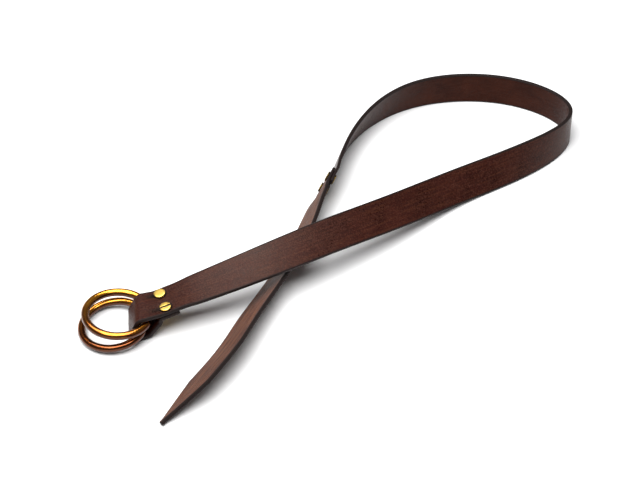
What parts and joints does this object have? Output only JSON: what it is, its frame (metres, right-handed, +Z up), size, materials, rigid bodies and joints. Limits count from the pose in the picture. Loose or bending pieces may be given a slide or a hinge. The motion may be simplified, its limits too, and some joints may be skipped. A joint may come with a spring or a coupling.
{
  "type": "ring belt",
  "caption": "Leather belt that closes by its two loose round rings, lying in one open loop, with a screw-studded fold and a pointed tail strap.",
  "frame": {"origin": "middle of the belt's footprint, on the surface that it lies on", "axes": "+X from the rings towards the bend of the loop, +Y from the tail's tip towards the far side of the loop, +Z up"},
  "size_m": [0.4476, 0.426, 0.0434],
  "materials": {
    "leather": "satin",
    "ring_brass": "polished",
    "stud_brass": "polished"
  },
  "bodies": {
    "belt": {"main_strap": "leather", "tail_strap": "leather", "fold_far_post": "stud_brass", "fold_far_screw": "stud_brass", "fold_near_post": "stud_brass", "fold_near_screw": "stud_brass", "splice_far_post": "stud_brass", "splice_far_screw": "stud_brass", "splice_near_post": "stud_brass", "splice_near_screw": "stud_brass"},
    "upper_ring": {"ring_upper": "ring_brass"},
    "lower_ring": {"ring_lower": "ring_brass"}
  },
  "joints": [
    {"name": "ring_upper_turn", "type": "hinge", "parent": "belt", "child": "upper_ring", "pos_m": [-0.18878, -0.10216, 0.01718], "axis": [0.0766, 0.0523, 0.9957], "continuous": true},
    {"name": "ring_lower_turn", "type": "hinge", "parent": "belt", "child": "lower_ring", "pos_m": [-0.19298, -0.10416, 0.00617], "axis": [-0.0941, -0.0175, 0.9954], "continuous": true}
  ]
}
